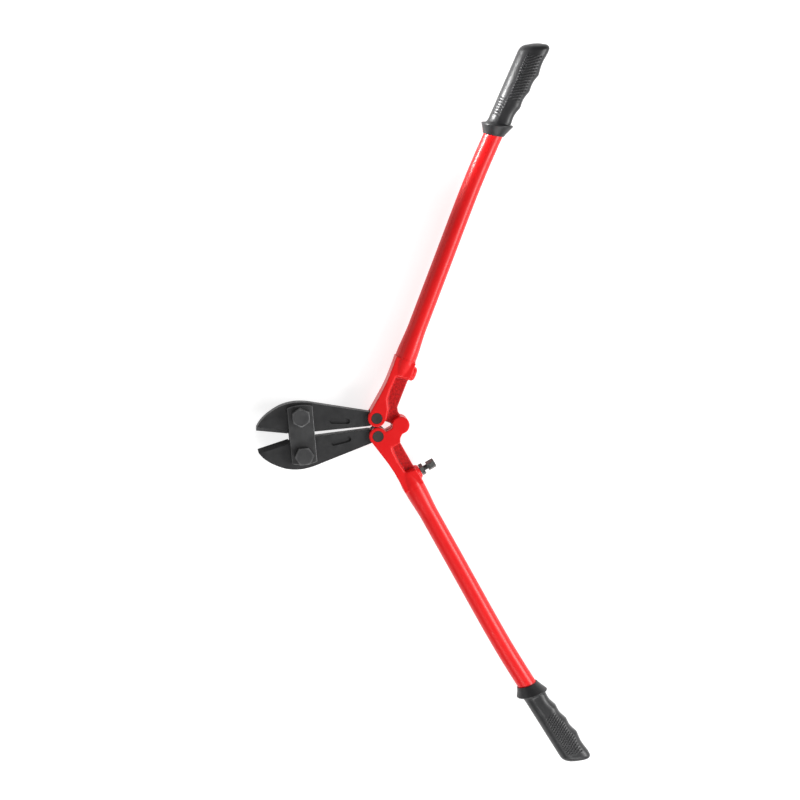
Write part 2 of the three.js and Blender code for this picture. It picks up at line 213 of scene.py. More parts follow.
def rod(x, y, radius, low, high):
    """An upright cylinder between two levels."""
    return lathe_z(x, y, [(radius, low), (radius, high)])


def through_hole(x, y, radius):
    """The cutter for a bore that goes right through a piece."""
    return rod(x, y, radius, -THROUGH, THROUGH)


def temporary(mesh):
    """An object that lives only while a modifier works with its mesh."""
    obj = bpy.data.objects.new("temporary", mesh)
    bpy.context.scene.collection.objects.link(obj)
    return obj


def modified(mesh, kind, **settings):
    """The mesh after one modifier."""
    obj = temporary(mesh)
    modifier = obj.modifiers.new(kind, kind)
    for key, value in settings.items():
        setattr(modifier, key, value)
    bpy.context.view_layer.update()
    evaluated = obj.evaluated_get(bpy.context.evaluated_depsgraph_get())
    result = bpy.data.meshes.new_from_object(evaluated)
    bpy.data.objects.remove(obj)
    return result


def joined(mesh, *others, operation="UNION"):
    """The mesh with the others added, or cut away."""
    for other in others:
        tool = temporary(other)
        mesh = modified(mesh, "BOOLEAN", operation=operation, object=tool, solver="EXACT")
        bpy.data.objects.remove(tool)
    return mesh


def cut(mesh, *tools):
    """The mesh with the tools cut away from it."""
    return joined(mesh, *tools, operation="DIFFERENCE")


def rounded(mesh, width, segments=3, angle=30):
    """The mesh with its sharp edges rounded over."""
    return modified(
        mesh, "BEVEL", width=width, segments=segments, limit_method="ANGLE",
        angle_limit=math.radians(angle), miter_outer="MITER_ARC",
    )


def forged(mesh, voxel=0.85, passes=9):
    """The mesh with every edge and corner softened, as a drop forging is."""
    remeshed = modified(mesh, "REMESH", mode="VOXEL", voxel_size=voxel)
    return modified(remeshed, "SMOOTH", factor=0.5, iterations=passes)


def spline(a, b, c, d, t):
    """One coordinate of a Catmull-Rom curve, from b at t = 0 to c at t = 1."""
    return 0.5 * (
        2 * b + (c - a) * t + (2 * a - 5 * b + 4 * c - d) * t * t + (3 * b - a - 3 * c + d) * t ** 3
    )


def smooth_curve(points, steps):
    """Points along a Catmull-Rom curve through the given ones, with so many steps to each stretch."""
    ends = [
        [2 * a - b for a, b in zip(points[0], points[1])],
        [2 * a - b for a, b in zip(points[-1], points[-2])],
    ]
    knots = [ends[0], *points, ends[1]]
    found = []
    for p0, p1, p2, p3 in zip(knots, knots[1:], knots[2:], knots[3:]):
        for i in range(steps):
            found.append(tuple(spline(*four, i / steps) for four in zip(p0, p1, p2, p3)))
    found.append(tuple(points[-1]))
    return found


def blend(a, b, t):
    """Eases from a to b as t runs from 0 to 1."""
    t = min(1.0, max(0.0, t))
    return a + (b - a) * t * t * (3 - 2 * t)


def piece(name, mesh, matrix, body, materials, pick=None, crisp=True, weighted=True):
    """Puts a finished mesh in the scene, in place of its CAD node; pick gives a face's material number."""
    numbers = [pick(face) if pick else 0 for face in mesh.polygons]
    mesh.transform(matrix)
    if matrix.determinant() < 0:
        mesh.flip_normals()
    mesh.shade_smooth()
    if crisp:
        mesh.set_sharp_from_angle(angle=math.radians(42))
        if weighted:
            mesh = modified(mesh, "WEIGHTED_NORMAL", keep_sharp=True, weight=80)
    mesh.materials.clear()
    for material in materials:
        mesh.materials.append(material)
    mesh.polygons.foreach_set("material_index", numbers)
    obj = bpy.data.objects.new(name, mesh)
    bpy.context.scene.collection.objects.link(obj)
    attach(obj, body)
    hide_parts(name.replace("_shape", ""))


def slanted(face):
    """True for the faces of chamfers and rounded edges, which are neither level nor upright."""
    return 0.12 < abs(face.normal.z) < 0.985


def on_bevel(face):
    """Chamfers and rounded edges, which lose their blacking first, take the second material."""
    return 1 if slanted(face) else 0


# ------------------------------------------------------------------ materials


class Surface:
    """A Principled material whose colour, roughness and relief come from its own nodes."""

    def __init__(self, name, **sockets):
        self.material = bpy.data.materials.new(name)
        self.material.use_nodes = True
        self.nodes = self.material.node_tree.nodes
        self.links = self.material.node_tree.links
        self.shader = self.nodes["Principled BSDF"]
        for key, value in sockets.items():
            self.shader.inputs[key.replace("_", " ").title().replace("Ior", "IOR")].default_value = value
        self.place = self.nodes.new("ShaderNodeTexCoord").outputs["Object"]
        self.height = None

    def noise(self, scale, detail=4.0, stretch=None):
        vector = self.place
        if stretch:
            mapping = self.nodes.new("ShaderNodeMapping")
            mapping.inputs["Scale"].default_value = stretch
            self.links.new(vector, mapping.inputs["Vector"])
            vector = mapping.outputs["Vector"]
        node = self.nodes.new("ShaderNodeTexNoise")
        node.inputs["Scale"].default_value = scale
        node.inputs["Detail"].default_value = detail
        self.links.new(vector, node.inputs["Vector"])
        return node.outputs["Fac"]

    def spread(self, value, low, high, start=0.3, end=0.7):
        """A texture value spread over a range of numbers."""
        node = self.nodes.new("ShaderNodeMapRange")
        node.inputs["From Min"].default_value = start
        node.inputs["From Max"].default_value = end
        node.inputs["To Min"].default_value = low
        node.inputs["To Max"].default_value = high
        self.links.new(value, node.inputs["Value"])
        return node.outputs["Result"]

    def ramp(self, value, stops):
        """A texture value turned into a colour."""
        node = self.nodes.new("ShaderNodeValToRGB")
        node.color_ramp.elements[0].position = stops[0][0]
        node.color_ramp.elements[0].color = (*stops[0][1], 1)
        node.color_ramp.elements[1].position = stops[-1][0]
        node.color_ramp.elements[1].color = (*stops[-1][1], 1)
        for position, colour in stops[1:-1]:
            node.color_ramp.elements.new(position).color = (*colour, 1)
        self.links.new(value, node.inputs["Fac"])
        return node.outputs["Color"]

    def colour(self, output):
        self.links.new(output, self.shader.inputs["Base Color"])

    def roughness(self, output):
        self.links.new(output, self.shader.inputs["Roughness"])

    def relief(self, value, distance, strength=1.0):
        """Fine relief; several calls add up."""
        bump = self.nodes.new("ShaderNodeBump")
        bump.inputs["Strength"].default_value = strength
        bump.inputs["Distance"].default_value = distance
        self.links.new(value, bump.inputs["Height"])
        if self.height is not None:
            self.links.new(self.height, bump.inputs["Normal"])
        self.height = bump.outputs["Normal"]
        self.links.new(self.height, self.shader.inputs["Normal"])


def red_enamel():
    """Glossy enamel with a slight orange peel."""
    surface = Surface("red_enamel", coat_weight=0.16, coat_roughness=0.2, specular_ior_level=0.28)
    tone = surface.noise(9, 3)
    surface.colour(surface.ramp(tone, [(0.3, (0.70, 0.004, 0.005)), (0.7, (0.80, 0.007, 0.008))]))
    surface.roughness(surface.spread(surface.noise(60), 0.34, 0.44))
    surface.relief(surface.noise(420, 2), 0.00012, 0.3)
    return surface.material


def shaded_web_enamel():
    """The same enamel, darkened as painted shade for the recessed web, with a mottle and relief for its rough
    forging.
    """
    surface = Surface("red_enamel_web_painted_shade", coat_weight=0.08, coat_roughness=0.25, specular_ior_level=0.25)
    tone = surface.noise(330, 3)
    surface.colour(surface.ramp(tone, [(0.35, (0.34, 0.002, 0.003)), (0.65, (0.58, 0.006, 0.007))]))
    surface.roughness(surface.spread(surface.noise(90), 0.38, 0.5))
    surface.relief(surface.noise(330, 3), 0.0006, 0.9)
    return surface.material


def oxide_steel(name, dark, light, rough, grain=900):
    """Blackened forged steel: mottled, satin, with a fine tooth."""
    surface = Surface(name, metallic=0.35)
    mottle = surface.noise(55, 6)
    surface.colour(surface.ramp(mottle, [(0.25, dark), (0.6, light), (0.85, dark)]))
    surface.roughness(surface.spread(surface.noise(130, 5), rough - 0.07, rough + 0.1))
    surface.relief(surface.noise(grain, 3), 0.00006, 0.5)
    surface.relief(surface.noise(90, 2), 0.0002, 0.25)
    return surface.material


def ground_steel():
    """The ground cutting bevel: brighter, with lines across the edge."""
    surface = Surface("ground_edge", metallic=0.5)
    lines = surface.noise(260, 3, stretch=(9.0, 0.6, 0.6))
    surface.colour(surface.ramp(lines, [(0.3, (0.030, 0.030, 0.031)), (0.7, (0.058, 0.058, 0.060))]))
    surface.roughness(surface.spread(lines, 0.32, 0.48))
    surface.relief(lines, 0.00004, 0.5)
    return surface.material


def zinc_steel():
    """Dull zinc plating with a faint cloudiness."""
    surface = Surface("dull_zinc", metallic=0.6)
    cloud = surface.noise(220, 5)
    surface.colour(surface.ramp(cloud, [(0.3, (0.038, 0.038, 0.037)), (0.7, (0.16, 0.16, 0.156))]))
    surface.roughness(surface.spread(surface.noise(400), 0.34, 0.5))
    surface.relief(surface.noise(1300, 2), 0.00004, 0.4)
    return surface.material


def grip_rubber():
    """Moulded black rubber with a matt skin."""
    surface = Surface("moulded_rubber", specular_ior_level=0.5)
    tone = surface.noise(35, 4)
    surface.colour(surface.ramp(tone, [(0.3, (0.009, 0.009, 0.010)), (0.7, (0.016, 0.016, 0.017))]))
    surface.roughness(surface.spread(surface.noise(180), 0.37, 0.46))
    surface.relief(surface.noise(1500, 2), 0.00008, 0.45)
    return surface.material


RED = red_enamel()
# The web's enamel is darker as painted shade for its recess.
RED_WEB_PAINTED_SHADE = shaded_web_enamel()
JAW_STEEL = oxide_steel("jaw_oxide", (0.022, 0.022, 0.023), (0.036, 0.036, 0.037), 0.5)
PLATE_STEEL = oxide_steel("plate_oxide", (0.041, 0.041, 0.042), (0.062, 0.062, 0.063), 0.46)
BOLT_STEEL = oxide_steel("bolt_oxide", (0.046, 0.046, 0.047), (0.071, 0.071, 0.073), 0.42, 1400)
PIN_STEEL = oxide_steel("pin_oxide", (0.034, 0.029, 0.026), (0.060, 0.050, 0.044), 0.42, 1400)
WORN_STEEL = oxide_steel("worn_oxide", (0.055, 0.055, 0.057), (0.12, 0.12, 0.122), 0.4, 1400)
GROUND = ground_steel()
ZINC = zinc_steel()
RUBBER = grip_rubber()

# ------------------------------------------------------------------ jaws

# The cutting edge counted from the link pin: its rear end, its direction and the way into the jaw.
EDGE_START = Vector((*EDGE_REAR, 0)) - PIN_AT
EDGE_SPAN = Vector((*JAW_TIP, 0)) - PIN_AT - EDGE_START
EDGE_ALONG = EDGE_SPAN.normalized()
EDGE_INWARD = Vector((EDGE_ALONG.y, -EDGE_ALONG.x, 0))
EDGE_BEVEL = 6.0
EDGE_LAND = 0.8

# The linkage is opened at the upper jaw's bolt, which travels in a slot hidden by the head plates.
SLOT_TRAVEL = 8.4
SLOT_DRIFT = 1.6

# A plain oblong recess stands in for the mark on each jaw.
MARK = (-86 - PIN_AT.x, 14.5 - PIN_AT.y)
MARK_SIZE = (29, 8.0)
MARK_CORNER = 3.9
MARK_TURN = math.radians(-8)
MARK_DEPTH = 2.5
MARK_ROOM = (17, 8)


def from_pin(points):
    """Points measured from the centre pivot, counted from the link pin instead."""
    return [(x - PIN_AT.x, y - PIN_AT.y) for x, y in points]


def jaw_outline():
    """One jaw from the front: its back, tip, cutting edge, the relief behind the edge, and inner side."""
    back = smooth_curve(
        [
            (-113.5, 42.0), (-131.8, 46.8), (-149, 48.3), (-167.2, 45.3), (-184.4, 37.1), (-196.6, 27.8),
            (-203.9, 18.6),
        ], 8,
    )
    relief = smooth_curve([EDGE_REAR, (-158.8, 7.0), (-154.8, 7.9), (-150.8, 7.0), (-148.4, 4.2)], 6)
    return from_pin([
        (-33, 19.5), (-48, 23.8), *back, JAW_TIP, *relief, (-122.6, 3.6), (-45.6, 2.4), (-33, 4.6),
    ])


def edge_grind(face):
    """The wedge ground off one face along the cutting edge."""
    slope = (JAW_HALF - EDGE_LAND) / EDGE_BEVEL
    above = JAW_HALF + 3
    section = [(-2, EDGE_LAND - 2 * slope), (EDGE_BEVEL, JAW_HALF), (EDGE_BEVEL, above), (-2, above)]
    rings = []
    for distance in (-0.5, EDGE_SPAN.length + 20):
        start = EDGE_START + EDGE_ALONG * distance
        rings.append([start + EDGE_INWARD * w + Vector((0, 0, face * h)) for w, h in section])
    return loft(rings)


def oblong(x, y, length, width, corner=2.0, steps=8):
    """A rounded rectangle's outline."""
    points = []
    corners = [(1, 1, 0), (-1, 1, 90), (-1, -1, 180), (1, -1, 270)]
    for sx, sy, start in corners:
        for i in range(steps + 1):
            a = math.radians(start + 90 * i / steps)
            points.append((
                x + sx * (length / 2 - corner) + corner * math.cos(a),
                y + sy * (width / 2 - corner) + corner * math.sin(a),
            ))
    return points


def turned(points, about, angle):
    """An outline turned about a point."""
    c, s = math.cos(angle), math.sin(angle)
    ox, oy = about
    return [(ox + (x - ox) * c - (y - oy) * s, oy + (x - ox) * s + (y - oy) * c) for x, y in points]


def bolt_hole(side):
    """The lower jaw's bore for its bolt, and the upper jaw's slot."""
    radius = BOLT_RADIUS + GAP
    if side < 0:
        return through_hole(BOLT_FROM_PIN.x, BOLT_FROM_PIN.y, radius)
    x, y = BOLT_FROM_PIN.x - SLOT_DRIFT / 2, BOLT_FROM_PIN.y - SLOT_TRAVEL / 2
    outline = oblong(x, y, 2 * radius + SLOT_DRIFT, 2 * radius + SLOT_TRAVEL, radius)
    return slab(outline, -THROUGH, THROUGH)


def jaw_mesh(side):
    """A jaw with its round tail: bored, ground along the edge, rounded, and recessed in both faces."""
    body = joined(slab(jaw_outline(), -JAW_HALF, JAW_HALF), rod(0, 0, TAIL_RADIUS, -JAW_HALF, JAW_HALF))
    body = cut(body, through_hole(0, 0, PIN_RADIUS + GAP), edge_grind(1), edge_grind(-1), bolt_hole(side))
    body = rounded(body, 0.85)
    recess = turned(oblong(*MARK, *MARK_SIZE, MARK_CORNER), MARK, MARK_TURN)
    for face in (1, -1):
        low, high = sorted((face * (JAW_HALF - MARK_DEPTH), face * (JAW_HALF + 1)))
        body = cut(body, slab(recess, low, high))
    return body


def jaw_face(face):
    """The wedge along the cutting edge takes the second material, and the rounded edges the third."""
    in_mark = all(abs(face.center[i] - MARK[i]) < MARK_ROOM[i] for i in (0, 1))
    if in_mark or not slanted(face):
        return 0
    away = (Vector(face.center) - EDGE_START).dot(EDGE_INWARD)
    return 1 if -0.5 < away < EDGE_BEVEL + 0.5 and face.center[0] < EDGE_START.x + 1 else 2


for side, label in SIDES.items():
    piece(
        f"{label}_jaw_shape", jaw_mesh(side), JAW[side], f"{label}_jaw_body",
        [JAW_STEEL, GROUND, WORN_STEEL], jaw_face,
    )

# ------------------------------------------------------------------ head plates and their fasteners

PLATE_SHIFT = 1.6


def plate_outline():
    """Two straight sides and two arched ends."""
    half, straight, crown = 17.9, 40.2, 2.8
    radius = (half ** 2 + crown ** 2) / (2 * crown)
    spread = math.asin(half / radius)
    points = []
    for sign in (1, -1):
        for i in range(25):
            a = sign * math.pi / 2 - spread + 2 * spread * i / 24
            y = sign * (straight + crown - radius) + radius * math.sin(a)
            points.append((radius * math.cos(a), y))
    return points


def plate_mesh(low, high):
    """A head plate, bored for both bolts."""
    body = slab([(x, y + PLATE_SHIFT) for x, y in plate_outline()], low, high)
    for y in (-BOLT_SPREAD, BOLT_SPREAD):
        body = cut(body, rod(0, y, BOLT_RADIUS + GAP, low - 1, high + 1))
    return rounded(body, 0.9)


for label, low, high in (
    ("front", JAW_HALF + GAP, PLATE_OUTER),
    ("rear", -PLATE_OUTER, -JAW_HALF - GAP),
):
    piece(
        f"{label}_plate_shape", plate_mesh(low, high), HEAD, "head_link",
        [PLATE_STEEL, WORN_STEEL], on_bevel,
    )


def hex_points(x, y, across, turn):
    """A hexagon's corners, one of them towards +y when the turn is zero."""
    return [(x + a, y + b) for a, b in circle(across / math.sqrt(3), 6, math.pi / 2 + turn)]


def hex_head(x, y, across, low, high, turn, chamfer_low=0.0, chamfer_high=1.6):
    """A hexagon whose corners are turned down at one end or both."""
    rim = across / math.sqrt(3) + 0.2
    profile = [
        (rim - 2.0 * chamfer_low, low), (rim, low + chamfer_low),
        (rim, high - chamfer_high), (rim - 2.0 * chamfer_high, high),
    ]
    if chamfer_low == 0:
        profile = profile[1:]
    return joined(
        slab(hex_points(x, y, across, turn), low, high), lathe_z(x, y, profile), operation="INTERSECT",
    )


def bolt_mesh(y, turn):
    """A jaw bolt: head, the collar under it, and a shank that ends inside the nut."""
    base = PLATE_OUTER + GAP
    collar = lathe_z(0, y, [(11.4, base), (11.4, base + 0.9)])
    head = hex_head(0, y, ACROSS_FLATS, base + 0.7, BOLT_HEAD_TOP, turn)
    shank_end = 0.6 - BASE_HALF
    shank = lathe_z(0, y, [
        (BOLT_RADIUS - 1, shank_end), (BOLT_RADIUS, shank_end + 1), (BOLT_RADIUS, base + 1),
    ])
    return rounded(joined(head, collar, shank), 0.3, 2)


def washer_mesh(y):
    """The washer between the rear plate and a nut."""
    top = -PLATE_OUTER - GAP
    disc = rod(0, y, WASHER_RADIUS, top - WASHER_THICKNESS, top)
    return rounded(cut(disc, rod(0, y, BOLT_RADIUS + GAP, -FAR, 0)), 0.3, 2)


def nut_mesh(y, turn):
    """A jaw bolt's nut, whose rear face rests on the floor."""
    top = -PLATE_OUTER - 2 * GAP - WASHER_THICKNESS
    body = hex_head(0, y, ACROSS_FLATS, -BASE_HALF, top, turn, chamfer_low=1.2, chamfer_high=1.0)
    return rounded(cut(body, rod(0, y, BOLT_RADIUS + GAP, -FAR, 0)), 0.3, 2)


for side, label in SIDES.items():
    y = side * BOLT_SPREAD
    turn = 0.0 if side > 0 else math.pi / 6
    fasteners = {"bolt": bolt_mesh(y, turn), "washer": washer_mesh(y), "nut": nut_mesh(y, turn)}
    for kind, mesh in fasteners.items():
        piece(
            f"{label}_jaw_{kind}_shape", mesh, HEAD, "head_link",
            [BOLT_STEEL, WORN_STEEL], on_bevel,
        )

# ------------------------------------------------------------------ yokes

# Where the outline leaves the knuckle on the inner side, and the yoke's long outer side.
THROAT = [(11.8, 4), (15.5, 9.4), (21.5, 13)]
OUTER_SIDE = [(55, 41.8), (40, 42.8), (21, 45.2), (2, 47.8)]

# How far out the rib's inner flank runs along the web.
RIB_RIDGE = {1: 32, -1: 28}

PRESS_GAP = 0.1
BLIND_CHEEK = 3.5


def yoke_web():
    """The thin plate from the knuckle to the socket."""
    return slab([
        (-3.5, 25), (-3.5, 11.5), *THROAT, (58, 13.2), (72, 13.2), (72, 42), *OUTER_SIDE,
    ], -WEB_HALF, WEB_HALF)


def yoke_rib(ridge):
    """The thick outer rib and the base of the socket, with a slope down to the web."""
    inner = [
        (-0.5, 21.5), (15.4, 24.6), (28.6, ridge - 0.4), (43.6, ridge + 0.6),
        (62, ridge - 0.4), (64.5, 12.6),
    ]
    outer = [(90, 12.6), (90, 42.6), (70, 41.8), *OUTER_SIDE]
    easing = [(0.5, 1.5), (-0.8, 2.0), (-0.5, 2.3), (0, 2.3), (1.5, 2.0), (2.3, 0)]
    crest = [(u + a, v + b) for (u, v), (a, b) in zip(inner, easing)]
    slope = 2.6
    levels = [(-YOKE_HALF, crest), (slope - YOKE_HALF, inner), (YOKE_HALF - slope, inner), (YOKE_HALF, crest)]
    return loft([[(u, v, z) for u, v in line + outer] for z, line in levels])


def socket_mesh():
    """The round end that meets the tube."""
    v = TUBE_ROUTE[0][1]
    rings = []
    for u, radius in ((66, 13.6), (84, SOCKET_RADIUS), (96, SOCKET_RADIUS)):
        rings.append([(u, v + a, b) for a, b in circle(radius, TURNED_SIDES)])
    return loft(rings)


def past_socket():
    """Everything beyond the socket's machined end face."""
    end, far = TUBE_START - 0.1, 130
    return slab([(end, -10), (far, -10), (far, 70), (end, 70)], -FAR, FAR)


def fork_room():
    """The space between the ears that the jaw's tail swings through."""
    half = JAW_HALF + GAP
    sweep = [(PIN_UV.x + x, PIN_UV.y + y) for x, y in ((0, 0), (12, 24), (-30, 24), (-30, -26), (-6.5, -26))]
    return joined(slab(sweep, -half, half), rod(PIN_UV.x, PIN_UV.y, EAR_RADIUS - GAP, -half, half))


def yoke_mesh(side):
    """A drop forging, machined afterwards at its fork, knuckle and bores."""
    boss_face = UPPER_BOSS_FACE if side > 0 else LOWER_BOSS_FACE
    edge = 2.5
    boss = lathe_v(BOSS_U, [
        (BOSS_RADIUS - edge, boss_face), (BOSS_RADIUS, boss_face + edge), (BOSS_RADIUS, 27),
    ])
    ear = rod(PIN_UV.x, PIN_UV.y, EAR_RADIUS, -YOKE_HALF, YOKE_HALF)
    knuckle_half = WEB_HALF if side > 0 else YOKE_HALF
    knuckle = rod(0, 0, KNUCKLE_RADIUS, -knuckle_half, knuckle_half)
    blank = joined(yoke_web(), yoke_rib(RIB_RIDGE[side]), ear, socket_mesh(), boss, knuckle)
    if side < 0:
        cheek = [(-2.6, 25), (-2.6, 11.5), *THROAT, (21.5, 26.5)]
        blank = joined(blank, slab(cheek, -YOKE_HALF, YOKE_HALF))
    pin_bore = through_hole(PIN_UV.x, PIN_UV.y, PIN_RADIUS + PRESS_GAP)
    body = cut(forged(blank), fork_room(), pin_bore, past_socket())
    if side > 0:
        return cut(body, through_hole(0, 0, CENTRE_PIN_RADIUS + GAP))
    room = rod(0, 0, KNUCKLE_RADIUS + 2 * GAP, -WEB_HALF - GAP, WEB_HALF + GAP)
    bore = rod(0, 0, CENTRE_PIN_RADIUS + PRESS_GAP, -THROUGH, YOKE_HALF - BLIND_CHEEK)
    screw_hole = lathe_v(BOSS_U, [(SCREW_RADIUS + 0.2, 0), (SCREW_RADIUS + 0.2, 36)])
    return cut(body, room, bore, screw_hole)


def web_face(face):
    """The recessed web between the rib, the knuckle and the boss takes the second material, its enamel
    darkened as painted shade.
    """
    u, v = face.center[0], face.center[1]
    near_web = abs(abs(face.center[2]) - WEB_HALF) < 1.0 and abs(face.normal.z) > 0.6
    return 1 if near_web and math.hypot(u, v) > KNUCKLE_RADIUS + 1 and v < 40 else 0


for side, label in SIDES.items():
    piece(
        f"{label}_yoke_shape", yoke_mesh(side), HANDLE[side], f"{label}_handle", [RED, RED_WEB_PAINTED_SHADE],
        web_face, weighted=False,
    )


def pin_mesh():
    """A link pin, its two ends set flush with a small turned rim and centre."""
    rim, end = 0.5, YOKE_HALF - 0.1
    profile = [
        (1.2, -end + 0.5), (2.0, -end), (PIN_RADIUS - rim, -end), (PIN_RADIUS, -end + rim),
        (PIN_RADIUS, end - rim), (PIN_RADIUS - rim, end), (2.0, end), (1.2, end - 0.5),
    ]
    return lathe_z(PIN_UV.x, PIN_UV.y, profile)


for side, label in SIDES.items():
    piece(f"{label}_link_pin_shape", pin_mesh(), HANDLE[side], f"{label}_handle", [PIN_STEEL])

centre_pin = lathe_z(0, 0, [
    (1.0, -YOKE_HALF + 0.5), (1.8, -YOKE_HALF + 0.1), (CENTRE_PIN_RADIUS - 0.5, -YOKE_HALF + 0.1),
    (CENTRE_PIN_RADIUS, -YOKE_HALF + 0.6), (CENTRE_PIN_RADIUS, YOKE_HALF - 4),
])
piece("centre_pin_shape", centre_pin, HANDLE[-1], "lower_handle", [PIN_STEEL])

# ------------------------------------------------------------------ tubes

ROUTE = smooth_curve([(u, v, 0) for u, v in TUBE_ROUTE], 24)


def route_v(u):
    """The tube's centre line at a station along the handle."""
    for a, b in zip(ROUTE, ROUTE[1:]):
        if a[0] <= u <= b[0]:
            return a[1] + (b[1] - a[1]) * (u - a[0]) / (b[0] - a[0])
    return ROUTE[-1][1]


def route_ring(u, radius, sides=80):
    """A ring square to the tube's centre line."""
    step = 0.5
    slope = (route_v(u + step) - route_v(u - step)) / (2 * step) if u > TUBE_START + 1 else 0.0
    length = math.hypot(1, slope)
    return [(u - a * slope / length, route_v(u) + a / length, b) for a, b in circle(radius, sides)]


def tube_radius(u):
    """The tube swages down from the socket's size to its own."""
    return blend(TUBE_START_RADIUS, TUBE_RADIUS, (u - TUBE_START - 3) / (SWAGE_LENGTH - 3))


def tube_mesh():
    """The tube as a solid bar, since both of its ends are hidden."""
    lip = 0.2
    rings = [route_ring(TUBE_START, TUBE_START_RADIUS - lip)]
    rings.append(route_ring(TUBE_START + lip, TUBE_START_RADIUS))
    steps = 110
    for i in range(1, steps + 1):
        u = TUBE_START + lip + (TUBE_END - TUBE_START - lip) * i / steps
        rings.append(route_ring(u, tube_radius(u)))
    return loft(rings)


for side, label in SIDES.items():
    piece(f"{label}_tube_shape", tube_mesh(), HANDLE[side], f"{label}_handle", [RED])

# ------------------------------------------------------------------ grips

GRIP_FRONT = 429.0
RIM_AT = 444.2
BODY_START = 450.5
BODY_END = 559.0
END_SLANT = 0.42
END_ROUNDING = 9.0
END_CROWN = 1.5
SLANT_START = 525.0
GRIP_SIDES = 200
GRIP_HALF_THICK = 16.3
FIRST_FINGER = 478.0
FINGER_PITCH = 25.7
LAST_FINGER = FIRST_FINGER + 2 * FINGER_PITCH
BULGE_END = 562.0
BOXY, ROUND = 0.72, 0.95
RIB_ZONE = (483, 552)
RIB_PITCH = 3.6
RIB_SLANT = math.radians(32)
RIB_HEIGHT = 1.25
GROOVE_ZONE = (455, 484)
GROOVE_PITCH = 4.1
GROOVE_DEPTH = 0.8
LIP_RADIUS = 15.1
FLARE = 6.3


def inner_edge(u):
    """The finger side of the grip: three crests and the bulge at the end."""
    crest = 7.8 - 0.14 * (min(u, LAST_FINGER) - FIRST_FINGER)
    if u <= LAST_FINGER:
        return crest + 1.9 * abs(math.sin(math.pi * (u - FIRST_FINGER) / FINGER_PITCH)) ** 1.2
    t = (u - LAST_FINGER) / (BULGE_END - LAST_FINGER)
    return crest - 0.5 * t + 1.7 * abs(math.sin(math.pi * min(t, 1.0))) ** 1.2


def outer_edge(u):
    """The straight back of the grip."""
    return 43.5 - 0.036 * (u - BODY_START)


def superellipse(angle):
    """A section that is boxy on the finger side and round on the back."""
    c, s = math.cos(angle), math.sin(angle)
    power = BOXY if c < 0 else blend(BOXY, ROUND, c / 0.5)
    return math.copysign(abs(c) ** power, c), math.copysign(abs(s) ** power, s)


def ribbing(u, v, z, across, handed):
    """Thin slanting ribs on the two flat sides, and short grooves across the back behind the collar."""
    flat_side = blend(0, 1, (abs(z) - 12.6) / 2.0)
    zone = blend(0, 1, (u - RIB_ZONE[0]) / 3) * blend(1, 0, (u - RIB_ZONE[1]) / 3)
    inset = blend(0, 1, (v - inner_edge(u) - 4.5) / 1.5) * blend(0, 1, (outer_edge(u) - 10 - v) / 2.5)
    slant = handed * math.copysign(RIB_SLANT, z)
    along, over = u * math.cos(slant), (v - 22) * math.sin(slant)
    wave = math.cos(2 * math.pi * (along + over) / RIB_PITCH)
    notch = 0.6 + 0.4 * math.cos(2 * math.pi * (along - over) / RIB_PITCH)
    rib = RIB_HEIGHT * flat_side * zone * inset * max(0.0, wave) ** 1.2 * notch
    back = blend(0, 1, (across - 0.35) / 0.12)
    back *= blend(0, 1, u - GROOVE_ZONE[0]) * blend(1, 0, u - GROOVE_ZONE[1])
    back *= blend(0, 1, handed * z / 6)
    groove = GROOVE_DEPTH * back * max(0.0, math.cos(2 * math.pi * (u - 458) / GROOVE_PITCH)) ** 2
    return rib - groove


def body_ring(u, handed, inset=0.0, shrink=1.0, lift=0.0, slant=0.0, ribs=True):
    """One cross-section of the grip's body, leaning so that its finger side reaches further along."""
    reach = slant * 18
    low, high = inner_edge(u + reach), outer_edge(u - reach)
    centre = (low + high) / 2
    half_v = ((high - low) / 2 - inset) * shrink
    half_z = (GRIP_HALF_THICK + 0.5 * math.cos((u - 500) / 18) - inset) * shrink
    ring = []
    for i in range(GRIP_SIDES):
        c, s = superellipse(2 * math.pi * i / GRIP_SIDES)
        v, z = centre + half_v * c, half_z * s
        height = ribbing(u, v, z, c, handed) if ribs else 0.0
        out = Vector((0, c * half_z, s * half_v)).normalized() * height
        ring.append((u + lift - slant * (v - centre), v + out.y, z + out.z))
    return ring


def round_ring(u, v, radius, shear=0.0):
    """A round cross-section with as many points as the body's, leaning by the shear."""
    return [(u - shear * a, v + a, b) for a, b in circle(radius, GRIP_SIDES)]


